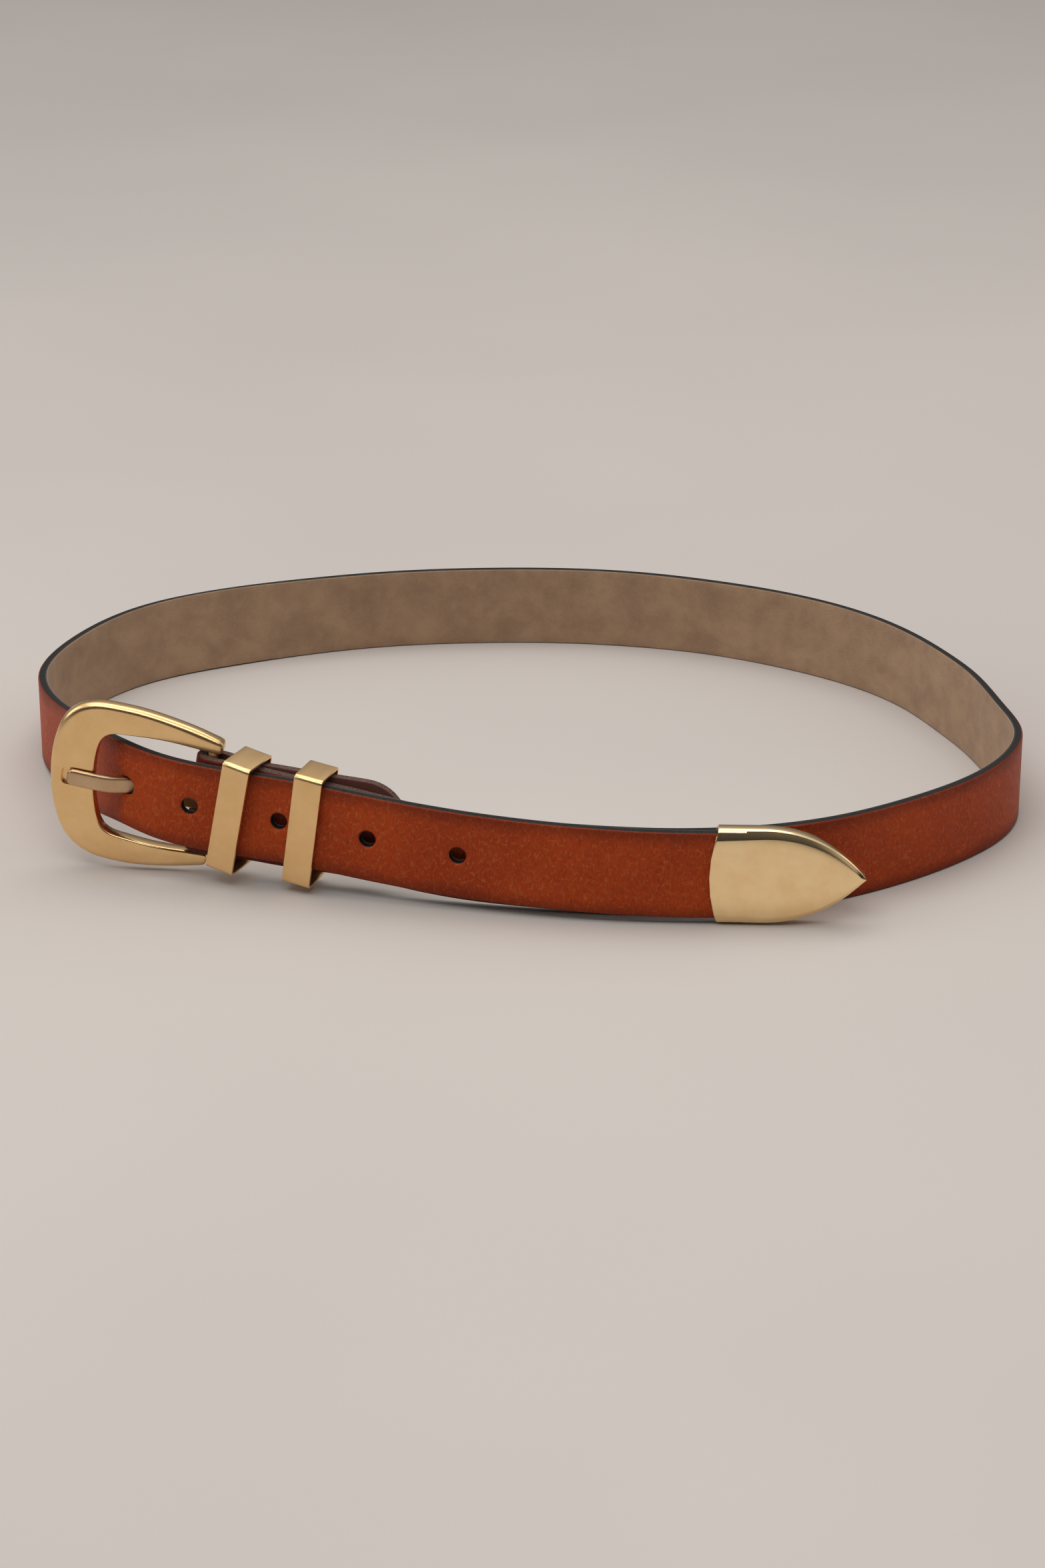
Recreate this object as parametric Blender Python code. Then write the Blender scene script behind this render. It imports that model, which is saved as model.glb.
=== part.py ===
"""Dress belt, buckled into its loop and standing on edge.

A lined leather strap is folded round the bar of a brass buckle, runs once round the waist,
comes back through the buckle, over the tongue and through two keepers, and ends in a metal tip.
Units are metres.  +X runs along the width of the loop, -Y is the front and +Z is up.
"""
import math

import bmesh
import bpy
import numpy as np
from mathutils import Matrix, Vector

MM = 0.001
GAP = 0.3 * MM                      # clearance between pieces that touch
CENTRE = Vector((0.49, -11.44, 0.13)) * MM    # brings the middle of the whole belt over the origin

# Strap
STRAP_WIDTH = 28 * MM
FOLD_WIDTH = 32 * MM                # the buckle end is cut wider than the rest
FOLD_TAPER = 75 * MM                # length over which it narrows again, past the bar
FOLD_END_RADIUS = 13 * MM
FOLD_PARALLEL = 12 * MM             # this far on each side of the bar the strap follows its tilt
GRAIN_THICKNESS = 2.0 * MM
LINING_THICKNESS = 0.7 * MM
STRAP_THICKNESS = GRAIN_THICKNESS + GAP + LINING_THICKNESS
EDGE_CHAMFER = 0.5 * MM
LONGEST_STEP = 11 * MM              # spacing of cross-sections on the straightest runs
CHORD_ERROR = 0.07 * MM             # how far a facet may cut inside the curve

# Holes
HOLE_RADIUS = 2.6 * MM
HOLE_PITCH = 28.6 * MM
LAST_HOLE_FROM_TIP_END = 99.7 * MM    # from the cut end of the strap to the nearest hole
EMPTY_HOLES = 4

# Buckle, measured from its hinge bar: X runs to the free bar, Y to the front, Z up along the bar
BAR_CENTRE = Vector((-98.2, -70.8, 24.2)) * MM
BUCKLE_HEADING = math.radians(173.5)  # direction of its X seen from above
BUCKLE_PITCH = math.radians(10)    # the free bar stands higher than the hinge bar
BAR_RADIUS = 1.6 * MM
BAR_HALF_LENGTH = 19.2 * MM
FRAME_THICKNESS = 4.6 * MM
FRAME_BEVEL = 1.0 * MM
FRAME_SKEW = 0.11                   # the free bar leans this much to its upper end
TONGUE_WIDTH = 5.4 * MM
TONGUE_THICKNESS = 2.4 * MM
TONGUE_STEPS = 19                   # points along its middle line
EYE_RADIUS = BAR_RADIUS + GAP + 1.4 * MM
SLOT_HALF_HEIGHT = TONGUE_WIDTH / 2 + 2 * GAP
PASSAGE_FRONT = 0.9 * MM            # room in front of the tongue, where it passes through the strap
PASSAGE_START = 18.5 * MM
PASSAGE_END = 30 * MM
NOTCH_FLOOR = 0.9 * MM

# Keepers
KEEPER_WIDTH = 9.2 * MM
KEEPER_SHEET = 0.9 * MM
KEEPER_HEIGHT = 37 * MM
KEEPER_CORNER = 1.6 * MM
# Name, distance from the strap's end, depth, shift inwards, drop, yaw and lean of each keeper
KEEPERS = [
    ("keeper_near_buckle", 171 * MM, 15.8 * MM, 3.6 * MM, 0.9 * MM, math.radians(-12), math.radians(7)),
    ("keeper_near_tip", 148.3 * MM, 14 * MM, 3.85 * MM, 1.5 * MM, math.radians(-4), math.radians(3)),
]

# Tip
TIP_LENGTH = 47.3 * MM
TIP_SHOULDER = 16 * MM              # where the straight sides start to close in
TIP_HEIGHT = 31 * MM
TIP_THICKNESS = 5.8 * MM
TIP_MOUTH_BOW = 2.5 * MM
TIP_BEVEL = 0.9 * MM
TIP_POCKET_DEPTH = 24 * MM
STRAP_IN_TIP = 23 * MM
TIP_SCREW_RADIUS = 1.0 * MM
TIP_SCREW_FROM_MOUTH = 12 * MM
TIP_SCREW_HEIGHT = 8 * MM

# Screws that close the fold
POST_RADIUS = 2.2 * MM
POST_BORE = 1.5 * MM
SCREW_RADIUS = 1.2 * MM
HEAD_RADIUS = 4.0 * MM
HEAD_THICKNESS = 0.7 * MM
FOLD_GAP = 0.4 * MM                 # between the two layers of the fold
SCREW_FROM_BAR = 54 * MM
SCREW_HEIGHT = 7.5 * MM

# Middle line of the strap: x, y, height of the middle, outward lean of the top edge (mm)
FOLD_BACK_ROUTE = [
    (-36, -86.1, 18.8, 0), (-47, -83.2, 20.2, 0), (-61, -79.8, 21.2, 0), (-76.5, -75.9, 22.4, 0),
    (-87, -73, 23.3, 0),
]
BODY_ROUTE = [
    (-86, -76.9, 23.2, 0), (-76.5, -79.5, 22.2, 0), (-61, -83.4, 20.8, 0), (-47, -86.8, 19.2, 0),
    (-33, -90.5, 17.2, 0), (-17, -94.2, 15.6, 0), (0, -97.4, 14.9, 0), (23, -100.4, 14.3, 0),
    (45, -101.7, 14, 0), (68, -100.1, 14, 0), (92, -93.2, 14, 1), (120, -77.0, 14, 1),
    (141.7, -58.2, 14, 1), (154.2, -40.6, 14, 0), (159.7, -20, 14, 0), (157, 0, 14, 0),
    (149.6, 31.4, 14, 1), (144, 46, 14, 1), (133, 68.8, 14, 0), (120.5, 85.6, 14, 0),
    (94, 107.2, 14, 0), (66, 121.4, 14, -1), (38, 129.8, 14, 0), (8.7, 133.4, 14, 0),
    (-20, 133.0, 14, 0), (-49, 129.4, 14, 0), (-77.5, 121.6, 14, 1), (-105.5, 110.6, 14, 3),
    (-131.5, 94.5, 14, 2), (-153, 64, 14, 0), (-160.7, 33, 14, 0), (-156.2, 8.5, 15.4, 0),
    (-146.8, -17, 19.4, 0), (-139, -38, 24, 0), (-132.8, -52.6, 26.8, 0),
    (-127.6, -61.2, 28.3, 0), (-121.9, -68.2, 28.7, 0), (-115.6, -73, 28, 0),
    (-108.8, -76, 26.9, 0), (-101, -77.9, 25.7, 0),
    (-75.5, -83.4, 23.5, 0), (-47.4, -91.2, 20.8, 0),
    (-17, -98.8, 18.2, 0), (15, -105.2, 16.9, 0), (45, -108.0, 16.2, 0), (56, -108.25, 16.1, 0),
    (68, -108.5, 16.1, 0), (79.3, -108.7, 16.1, 0),
]

# Edges of the buckle frame from the end of one arm to the middle of the free bar:
# inner X and Z, outer X and Z (mm)
FRAME_STATIONS = [
    (-3.1, 18.2, -3.1, 19.7), (-2.6, 17.4, -2.7, 20.8), (-1, 17.1, -1, 21.6), (4, 17.3, 4, 23.0),
    (10, 17.7, 10, 24.3), (16, 17.8, 16, 25.3), (21.5, 17.5, 22.5, 26.0), (26.2, 17.1, 29.5, 26.1),
    (29.6, 16.6, 35.2, 25.6), (32.0, 15.3, 40.3, 23.7), (33.6, 12.9, 44.3, 20.2),
    (34.6, 9.2, 47.2, 14.4), (35.2, 4.8, 48.8, 7.6), (35.4, 0, 49.3, 0),
]
# Middle line of the tongue past its eye: X and Y (mm)
TONGUE_PATH = [(2.2, 1.4), (10, 0.8), (16, 0.1), (20, -0.6), (23.5, -0.4), (26.5, 0.9), (29.5, 2.2),
               (33, 2.75), (37, 2.8), (40.5, 2.7), (43.6, 2.6)]


def remove_everything():
    for item in list(bpy.data.objects):
        bpy.data.objects.remove(item, do_unlink=True)


def material(name, colour, roughness, metallic):
    finish = bpy.data.materials.new(name)
    finish.use_nodes = True
    shader = finish.node_tree.nodes["Principled BSDF"]
    shader.inputs["Base Color"].default_value = (*colour, 1)
    shader.inputs["Roughness"].default_value = roughness
    shader.inputs["Metallic"].default_value = metallic
    return finish


def add_object(name, bm, finish, frame=None, smooth_angle=None):
    """Turn a bmesh into a named object, placed by a matrix."""
    bmesh.ops.recalc_face_normals(bm, faces=bm.faces)
    mesh = bpy.data.meshes.new(name)
    bm.to_mesh(mesh)
    bm.free()
    item = bpy.data.objects.new(name, mesh)
    bpy.context.collection.objects.link(item)
    if frame is not None:
        item.matrix_world = frame
    if finish is not None:
        mesh.materials.append(finish)
    if smooth_angle is not None:
        mesh.shade_smooth()
        mesh.set_sharp_from_angle(angle=math.radians(smooth_angle))
    return item


def cut(item, name, bm, frame):
    """Subtract a closed bmesh from an object and keep the cutter as a hidden guide."""
    cutter = add_object(name, bm, None, frame)
    cutter.hide_render = True
    cutter.display_type = "WIRE"
    modifier = item.modifiers.new(name, "BOOLEAN")
    modifier.operation = "DIFFERENCE"
    modifier.solver = "EXACT"
    modifier.object = cutter
    return cutter


def join(item, name, bm, frame):
    """Unite a closed bmesh with an object and keep it as a hidden guide."""
    guide = add_object(name, bm, None, frame)
    guide.hide_render = True
    guide.display_type = "WIRE"
    modifier = item.modifiers.new(name, "BOOLEAN")
    modifier.operation = "UNION"
    modifier.solver = "EXACT"
    modifier.object = guide


def share_cutter(item, cutter):
    modifier = item.modifiers.new(cutter.name, "BOOLEAN")
    modifier.operation = "DIFFERENCE"
    modifier.solver = "EXACT"
    modifier.object = cutter


def cylinder(radius, low, high, sides=16):
    """Closed cylinder along local Z, from one height to the other."""
    bm = bmesh.new()
    place = Matrix.Translation((0, 0, (low + high) / 2))
    bmesh.ops.create_cone(bm, cap_ends=True, segments=sides, radius1=radius, radius2=radius,
                          depth=high - low, matrix=place)
    return bm


def block(low, high):
    """Closed box between two corners."""
    bm = bmesh.new()
    size = Vector(high) - Vector(low)
    place = Matrix.Translation((Vector(high) + Vector(low)) / 2) @ Matrix.Diagonal((*size, 1))
    bmesh.ops.create_cube(bm, size=1, matrix=place)
    return bm


def natural_spline(points, samples):
    """Natural cubic spline through points, with its knots at the chord lengths.

    Returns samples points and the knot value of each."""
    points = np.asarray(points, float)
    steps = np.linalg.norm(np.diff(points[:, :2], axis=0), axis=1)
    knots = np.concatenate([[0], np.cumsum(steps)])
    count = len(points)
    matrix = np.eye(count)
    right = np.zeros_like(points)
    for i in range(1, count - 1):
        before, after = steps[i - 1], steps[i]
        matrix[i, i - 1:i + 2] = before, 2 * (before + after), after
        right[i] = 6 * ((points[i + 1] - points[i]) / after - (points[i] - points[i - 1]) / before)
    bend = np.linalg.solve(matrix, right)
    values = np.linspace(0, knots[-1], samples)
    spans = np.clip(np.searchsorted(knots, values, side="right") - 1, 0, count - 2)
    width = steps[spans][:, None]
    far = ((knots[spans + 1] - values) / steps[spans])[:, None]
    near = 1 - far
    curve = far * points[spans] + near * points[spans + 1]
    curve += ((far**3 - far) * bend[spans] + (near**3 - near) * bend[spans + 1]) * width**2 / 6
    return curve, values


def buckle_matrix():
    """Axes of the buckle, with its origin at the middle of the hinge bar."""
    level = math.cos(BUCKLE_PITCH)
    along = Vector((level * math.cos(BUCKLE_HEADING), level * math.sin(BUCKLE_HEADING),
                    math.sin(BUCKLE_PITCH)))
    up = (Vector((0, 0, 1)) - along * along.z).normalized()
    matrix = Matrix((along, up.cross(along), up)).transposed().to_4x4()
    matrix.translation = BAR_CENTRE + CENTRE
    return matrix


class Route:
    """The strap's middle line with its frames, from the folded end to the tip."""

    def __init__(self, buckle):
        points = [(x * MM, y * MM, z * MM, lean * MM) for x, y, z, lean in FOLD_BACK_ROUTE]
        radius = BAR_RADIUS + GAP + STRAP_THICKNESS / 2
        for degrees in range(-90, 91, 30):
            angle = math.radians(degrees)
            place = buckle @ Vector((radius * math.cos(angle), radius * math.sin(angle), 0))
            place -= CENTRE
            points.append((*place, 0))
        points += [(x * MM, y * MM, z * MM, lean * MM) for x, y, z, lean in BODY_ROUTE]
        curve, _ = natural_spline(points, 12000)
        place = curve[:, :3] + np.array(CENTRE)
        step = np.linalg.norm(np.diff(place, axis=0), axis=1)
        self.s = np.concatenate([[0], np.cumsum(step)])
        self.place = place
        self.lean = curve[:, 3]
        tangent = np.gradient(place, self.s, axis=0)
        self.tangent = tangent / np.linalg.norm(tangent, axis=1)[:, None]
        bend = np.gradient(self.tangent, self.s, axis=0)
        self.curvature = np.linalg.norm(bend, axis=1)
        self.length = self.s[-1]
        self.bar_axis = buckle.col[2].to_3d()
        early = self.s < 2 * FOLD_TAPER
        self.bar_s = self.s[early][np.argmin(place[early, 0])]

    def at(self, s, values):
        return np.array([np.interp(s, self.s, values[:, i]) for i in range(values.shape[1])])

    def half_width(self, s):
        """Half the strap's width, with the round end of the fold and the taper past the bar."""
        past = min(max((s - self.bar_s) / FOLD_TAPER, 0), 1)
        blend = past * past * (3 - 2 * past)
        half = (FOLD_WIDTH + (STRAP_WIDTH - FOLD_WIDTH) * blend) / 2
        if s < FOLD_END_RADIUS:
            inside = FOLD_END_RADIUS - s
            half += math.sqrt(FOLD_END_RADIUS**2 - inside**2) - FOLD_END_RADIUS
        return half

    def frame(self, s):
        """Matrix with X along the strap, Y through it to its lining and Z up its width."""
        tangent = Vector(self.at(s, self.tangent)).normalized()
        far = min(max((abs(s - self.bar_s) - FOLD_PARALLEL) / FOLD_PARALLEL, 0), 1)
        guide = self.bar_axis.lerp(Vector((0, 0, 1)), far * far * (3 - 2 * far))
        up = (guide - tangent * tangent.dot(guide)).normalized()
        lean = np.interp(s, self.s, self.lean) / STRAP_WIDTH
        up = (up + tangent.cross(up) * lean).normalized()
        matrix = Matrix((tangent, up.cross(tangent), up)).transposed().to_4x4()
        matrix.translation = Vector(self.at(s, self.place))
        return matrix

    def across(self, s):
        """As frame, turned so that Z points out of the strap's grain face."""
        return self.frame(s) @ Matrix.Rotation(math.radians(90), 4, "X")

    def stations(self):
        """Arc lengths of the cross-sections, closer together where the strap bends."""
        found = [0.0]
        for part in (0.02, 0.1, 0.25, 0.5, 0.8, 1):
            found.append(FOLD_END_RADIUS * part)
        while found[-1] < self.length:
            bend = max(np.interp(found[-1] + offset, self.s, self.curvature)
                       for offset in (0, 1 * MM, 2 * MM))
            step = min(math.sqrt(8 * CHORD_ERROR / max(bend, 1)), LONGEST_STEP)
            found.append(found[-1] + step)
        found[-1] = self.length
        if found[-1] - found[-2] < 1 * MM:
            del found[-2]
        return found


def strap_layer(name, route, section, finish):
    """Sweep a section of (side, offset to the grain face, edge inset) corners along the route."""
    bm = bmesh.new()
    rings = []
    for s in route.stations():
        frame = route.frame(s)
        half = route.half_width(s)
        ring = []
        for side, offset, inset in section:
            ring.append(bm.verts.new(frame @ Vector((0, -offset, side * (half - inset)))))
        rings.append(ring)
    for ring, after in zip(rings, rings[1:]):
        for i in range(len(ring)):
            j = (i + 1) % len(ring)
            bm.faces.new((ring[i], ring[j], after[j], after[i]))
    bm.faces.new(rings[0])
    bm.faces.new(rings[-1])
    bmesh.ops.triangulate(bm, faces=bm.faces, quad_method="FIXED")
    return add_object(name, bm, finish, smooth_angle=35)


def build_strap(route, grain_finish, lining_finish):
    outer = STRAP_THICKNESS / 2
    seam = outer - GRAIN_THICKNESS
    grain = strap_layer("strap_grain_layer", route, [
        (-1, seam, 0), (-1, outer - EDGE_CHAMFER, 0), (-1, outer, EDGE_CHAMFER),
        (1, outer, EDGE_CHAMFER), (1, outer - EDGE_CHAMFER, 0), (1, seam, 0)], grain_finish)
    lining = strap_layer("strap_lining", route, [
        (1, seam - GAP, 0), (-1, seam - GAP, 0), (-1, -outer, 0), (1, -outer, 0)], lining_finish)
    return grain, lining


def punch_strap(grain, lining, route, buckle):
    """Punch the size holes, the tongue's passages and the holes for the fasteners."""
    end = route.length - LAST_HOLE_FROM_TIP_END
    depth = STRAP_THICKNESS / 2 + 1 * MM
    for number in range(EMPTY_HOLES):
        punch = cylinder(HOLE_RADIUS, -depth, depth, 20)
        cutter = cut(grain, f"size_hole_{number + 1}", punch, route.across(end - number * HOLE_PITCH))
        share_cutter(lining, cutter)
    half = TONGUE_THICKNESS / 2
    front, back = tongue_sides(half + PASSAGE_FRONT, half + GAP)[:2]
    inside = [PASSAGE_START < point.x < PASSAGE_END for point in front]
    outline = [point for point, kept in zip(front, inside) if kept]
    outline += [point for point, kept in zip(back, inside) if kept][::-1]
    cutter = cut(grain, "tongue_passage", slab(outline, SLOT_HALF_HEIGHT), buckle)
    share_cutter(lining, cutter)
    slot = block((-9 * MM, -7.5 * MM, -SLOT_HALF_HEIGHT), (8 * MM, 7.5 * MM, SLOT_HALF_HEIGHT))
    cutter = cut(grain, "fold_slot", slot, buckle)
    share_cutter(lining, cutter)


def skewed(x, z):
    """A point of the frame, leaning over more and more towards the free bar."""
    share = min(max(x / FRAME_STATIONS[-1][0], 0), 1)
    return Vector(((x + FRAME_SKEW * share * z) * MM, 0, z * MM))


def frame_edges():
    """Inner and outer edge points from the lower arm, round the free bar, to the upper arm."""
    lower = [(inner_x, -inner_z, outer_x, -outer_z)
             for inner_x, inner_z, outer_x, outer_z in FRAME_STATIONS[:-1]]
    return [(skewed(*row[:2]), skewed(*row[2:])) for row in lower + FRAME_STATIONS[::-1]]


def build_buckle_frame(buckle, finish):
    """Horseshoe of varying width with bevelled front edges, bored for the hinge bar."""
    front = FRAME_THICKNESS / 2
    bm = bmesh.new()
    rings = []
    for inner, outer in frame_edges():
        width = (outer - inner).length
        slim = min(width / (3.6 * MM), 1)
        across = (outer - inner) / width
        bevel = min(FRAME_BEVEL, width / 3)
        half = front * (0.55 + 0.45 * slim)
        ring = []
        for edge, inset, height in (
                (inner, 0, -half + bevel / 2), (inner, bevel / 2, -half),
                (outer, -bevel / 2, -half), (outer, 0, -half + bevel),
                (outer, 0, half - 1.6 * bevel), (outer, -bevel, half - 0.3 * bevel),
                (outer, -2 * bevel if width > 5 * bevel else -1.3 * bevel, half),
                (inner, bevel, half), (inner, 0, half - bevel)):
            ring.append(bm.verts.new(edge + across * inset + Vector((0, height, 0))))
        rings.append(ring)
    for ring, after in zip(rings, rings[1:]):
        for i in range(len(ring)):
            j = (i + 1) % len(ring)
            bm.faces.new((ring[i], ring[j], after[j], after[i]))
    bm.faces.new(rings[0])
    bm.faces.new(rings[-1])
    item = add_object("buckle_frame", bm, finish, buckle, 35)
    bore = cylinder(BAR_RADIUS + GAP, -BAR_HALF_LENGTH - GAP, BAR_HALF_LENGTH + GAP)
    cut(item, "bar_bore", bore, buckle)
    notch = block((30 * MM, NOTCH_FLOOR, -TONGUE_WIDTH / 2 - GAP),
                  (45.6 * MM, 6 * MM, TONGUE_WIDTH / 2 + GAP))
    cut(item, "tongue_notch", notch, buckle)


def build_hinge_bar(buckle, finish):
    bm = cylinder(BAR_RADIUS, -BAR_HALF_LENGTH, BAR_HALF_LENGTH)
    add_object("hinge_bar", bm, finish, buckle, 35)


def tongue_sides(front, back):
    """Lines this far in front of and behind the tongue's middle line, then the line, its heading."""
    path, _ = natural_spline([(x * MM, y * MM) for x, y in TONGUE_PATH], TONGUE_STEPS)
    direction = np.gradient(path, axis=0)
    direction /= np.linalg.norm(direction, axis=1)[:, None]
    top = [Vector((p[0] - d[1] * front, p[1] + d[0] * front, 0)) for p, d in zip(path, direction)]
    bottom = [Vector((p[0] + d[1] * back, p[1] - d[0] * back, 0)) for p, d in zip(path, direction)]
    return top, bottom, path, direction


def slab(outline, half_height):
    """Closed plate with this outline, seen along Z."""
    bm = bmesh.new()
    low = [bm.verts.new(point - Vector((0, 0, half_height))) for point in outline]
    face = bm.faces.new(low)
    grown = bmesh.ops.extrude_face_region(bm, geom=[face])
    moved = [part for part in grown["geom"] if isinstance(part, bmesh.types.BMVert)]
    bmesh.ops.translate(bm, verts=moved, vec=(0, 0, 2 * half_height))
    bmesh.ops.recalc_face_normals(bm, faces=bm.faces)
    return bm


def build_tongue(buckle, finish):
    """Flat bent bar whose end is rolled into an eye on the hinge bar."""
    half = TONGUE_THICKNESS / 2
    top, bottom, path, direction = tongue_sides(half, half)
    start = math.atan2(top[0].y, top[0].x)
    finish_angle = math.atan2(bottom[0].y, bottom[0].x)
    steps = 14
    eye = []
    for number in range(steps + 1):
        angle = start + (finish_angle + 2 * math.pi - start) * number / steps
        eye.append(Vector((EYE_RADIUS * math.cos(angle), EYE_RADIUS * math.sin(angle), 0)))
    nose = path[-1]
    along = direction[-1]
    round_end = []
    for degrees in (60, 30, 0, -30, -60):
        angle = math.radians(degrees)
        reach = half * math.cos(angle)
        lift = half * math.sin(angle)
        round_end.append(Vector((nose[0] + along[0] * reach - along[1] * lift,
                                 nose[1] + along[1] * reach + along[0] * lift, 0)))
    outline = top[1:] + round_end + bottom[:0:-1] + eye[::-1]
    item = add_object("tongue", slab(outline, TONGUE_WIDTH / 2), finish, buckle, 35)
    bore = cylinder(BAR_RADIUS + GAP, -TONGUE_WIDTH, TONGUE_WIDTH)
    cut(item, "eye_bore", bore, buckle)


def rounded_rectangle(depth, height, radius, segments=4):
    """Corners of a rounded rectangle in the YZ plane."""
    points = []
    for quarter, (side, level) in enumerate(((1, 1), (-1, 1), (-1, -1), (1, -1))):
        centre = Vector((0, side * (depth / 2 - radius), level * (height / 2 - radius)))
        for step in range(segments + 1):
            angle = math.pi / 2 * (quarter + step / segments)
            points.append(centre + Vector((0, math.cos(angle), math.sin(angle))) * radius)
    return points


def build_keeper(name, frame, depth, finish):
    """Band of sheet metal bent into a rectangular loop and closed on itself."""
    bm = bmesh.new()
    outer = rounded_rectangle(depth, KEEPER_HEIGHT, KEEPER_CORNER)
    inner = rounded_rectangle(depth - 2 * KEEPER_SHEET, KEEPER_HEIGHT - 2 * KEEPER_SHEET,
                              KEEPER_CORNER - KEEPER_SHEET)
    loops = []
    for points in (outer, inner):
        for side in (-1, 1):
            shift = Vector((side * KEEPER_WIDTH / 2, 0, 0))
            loops.append([bm.verts.new(point + shift) for point in points])
    outer_left, outer_right, inner_left, inner_right = loops
    count = len(outer)
    for i in range(count):
        j = (i + 1) % count
        bm.faces.new((outer_left[i], outer_left[j], outer_right[j], outer_right[i]))
        bm.faces.new((inner_left[j], inner_left[i], inner_right[i], inner_right[j]))
        bm.faces.new((outer_left[j], outer_left[i], inner_left[i], inner_left[j]))
        bm.faces.new((outer_right[i], outer_right[j], inner_right[j], inner_right[i]))
    return add_object(name, bm, finish, frame, 35)


def tip_outline():
    """Outline of the tip: bowed mouth, parallel sides and a pointed arch."""
    half = TIP_HEIGHT / 2
    reach = TIP_LENGTH - TIP_SHOULDER
    radius = (reach**2 + half**2) / (2 * half)
    sweep = math.asin(reach / radius)
    upper = [(TIP_MOUTH_BOW * (step / 4) ** 2, half * step / 4) for step in range(5)]
    for step in range(11):
        angle = sweep * step / 10
        upper.append((TIP_SHOULDER + radius * math.sin(angle), half - radius + radius * math.cos(angle)))
    upper[-1] = (upper[-1][0] - 0.7 * MM, 0)
    lower = [(x, -z) for x, z in upper[1:-1]]
    return upper + lower[::-1]


def build_tip(frame, finish):
    bm = bmesh.new()
    back = [bm.verts.new(Vector((x, -TIP_THICKNESS / 2, z))) for x, z in tip_outline()]
    face = bm.faces.new(back)
    grown = bmesh.ops.extrude_face_region(bm, geom=[face])
    moved = [part for part in grown["geom"] if isinstance(part, bmesh.types.BMVert)]
    bmesh.ops.translate(bm, verts=moved, vec=(0, TIP_THICKNESS, 0))
    rims = [edge for edge in bm.edges
            if abs(edge.verts[0].co.y - edge.verts[1].co.y) < GAP
            and edge.verts[0].co.x + edge.verts[1].co.x > 2 * TIP_MOUTH_BOW + GAP]
    bmesh.ops.bevel(bm, geom=rims, offset=TIP_BEVEL, segments=1, profile=0.5, affect="EDGES",
                    material=-1)
    item = add_object("metal_tip", bm, finish, frame, 35)
    depth = STRAP_THICKNESS / 2 + GAP
    pocket = block((-5 * MM, -depth, -STRAP_WIDTH / 2 - 2 * GAP),
                   (TIP_POCKET_DEPTH, depth, STRAP_WIDTH / 2 + 2 * GAP))
    cut(item, "tip_pocket", pocket, frame)
    return item


def build_fold_screws(grain, lining, route, finish):
    """Screw posts through both layers of the fold, with their screws from the inside."""
    outer = STRAP_THICKNESS / 2
    head_low = outer + GAP
    rear = -outer - FOLD_GAP - STRAP_THICKNESS - GAP
    for name, height in (("upper", SCREW_HEIGHT), ("lower", -SCREW_HEIGHT)):
        frame = route.across(route.bar_s + SCREW_FROM_BAR) @ Matrix.Translation((0, height, 0))
        hole = cylinder(POST_RADIUS + GAP, rear, head_low + GAP, 20)
        cutter = cut(grain, f"post_hole_{name}", hole, frame)
        share_cutter(lining, cutter)
        post = cylinder(POST_RADIUS, rear + 2 * GAP, head_low + HEAD_THICKNESS / 2, 20)
        item = add_object(f"fold_post_{name}", post, finish, frame, 35)
        join(item, f"post_head_{name}", cylinder(HEAD_RADIUS, head_low, head_low + HEAD_THICKNESS, 24),
             frame)
        cut(item, f"post_bore_{name}", cylinder(POST_BORE, rear - GAP, outer - POST_BORE), frame)
        shank = cylinder(SCREW_RADIUS, rear - HEAD_THICKNESS / 2, outer - POST_BORE - GAP)
        item = add_object(f"fold_screw_{name}", shank, finish, frame, 35)
        join(item, f"screw_head_{name}", cylinder(HEAD_RADIUS, rear - HEAD_THICKNESS, rear, 24), frame)
        turn = block((-5 * MM, -0.4 * MM, rear - 2 * HEAD_THICKNESS),
                     (5 * MM, 0.4 * MM, rear - HEAD_THICKNESS / 2))
        cut(item, f"screw_slot_{name}", turn, frame)


def build_tip_screws(tip, grain, lining, frame, finish):
    """Two small screws that hold the tip on the strap, from its back."""
    back = -TIP_THICKNESS / 2
    for name, height in (("upper", TIP_SCREW_HEIGHT), ("lower", -TIP_SCREW_HEIGHT)):
        place = frame @ Matrix.Translation((TIP_SCREW_FROM_MOUTH, 0, height))
        place = place @ Matrix.Rotation(math.radians(90), 4, "X")
        hole = cylinder(TIP_SCREW_RADIUS + GAP, back - GAP, TIP_SCREW_RADIUS + GAP)
        cutter = cut(tip, f"tip_screw_hole_{name}", hole, place)
        share_cutter(grain, cutter)
        share_cutter(lining, cutter)
        add_object(f"tip_screw_{name}", cylinder(TIP_SCREW_RADIUS, back, TIP_SCREW_RADIUS), finish,
                   place, 35)


def keeper_frame(route, s, inward, drop, yaw, lean):
    """The strap's frame at s, shifted inwards and down, and a little askew."""
    frame = route.frame(s) @ Matrix.Translation((0, inward, -drop))
    return frame @ Matrix.Rotation(yaw, 4, "Z") @ Matrix.Rotation(lean, 4, "Y")


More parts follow.
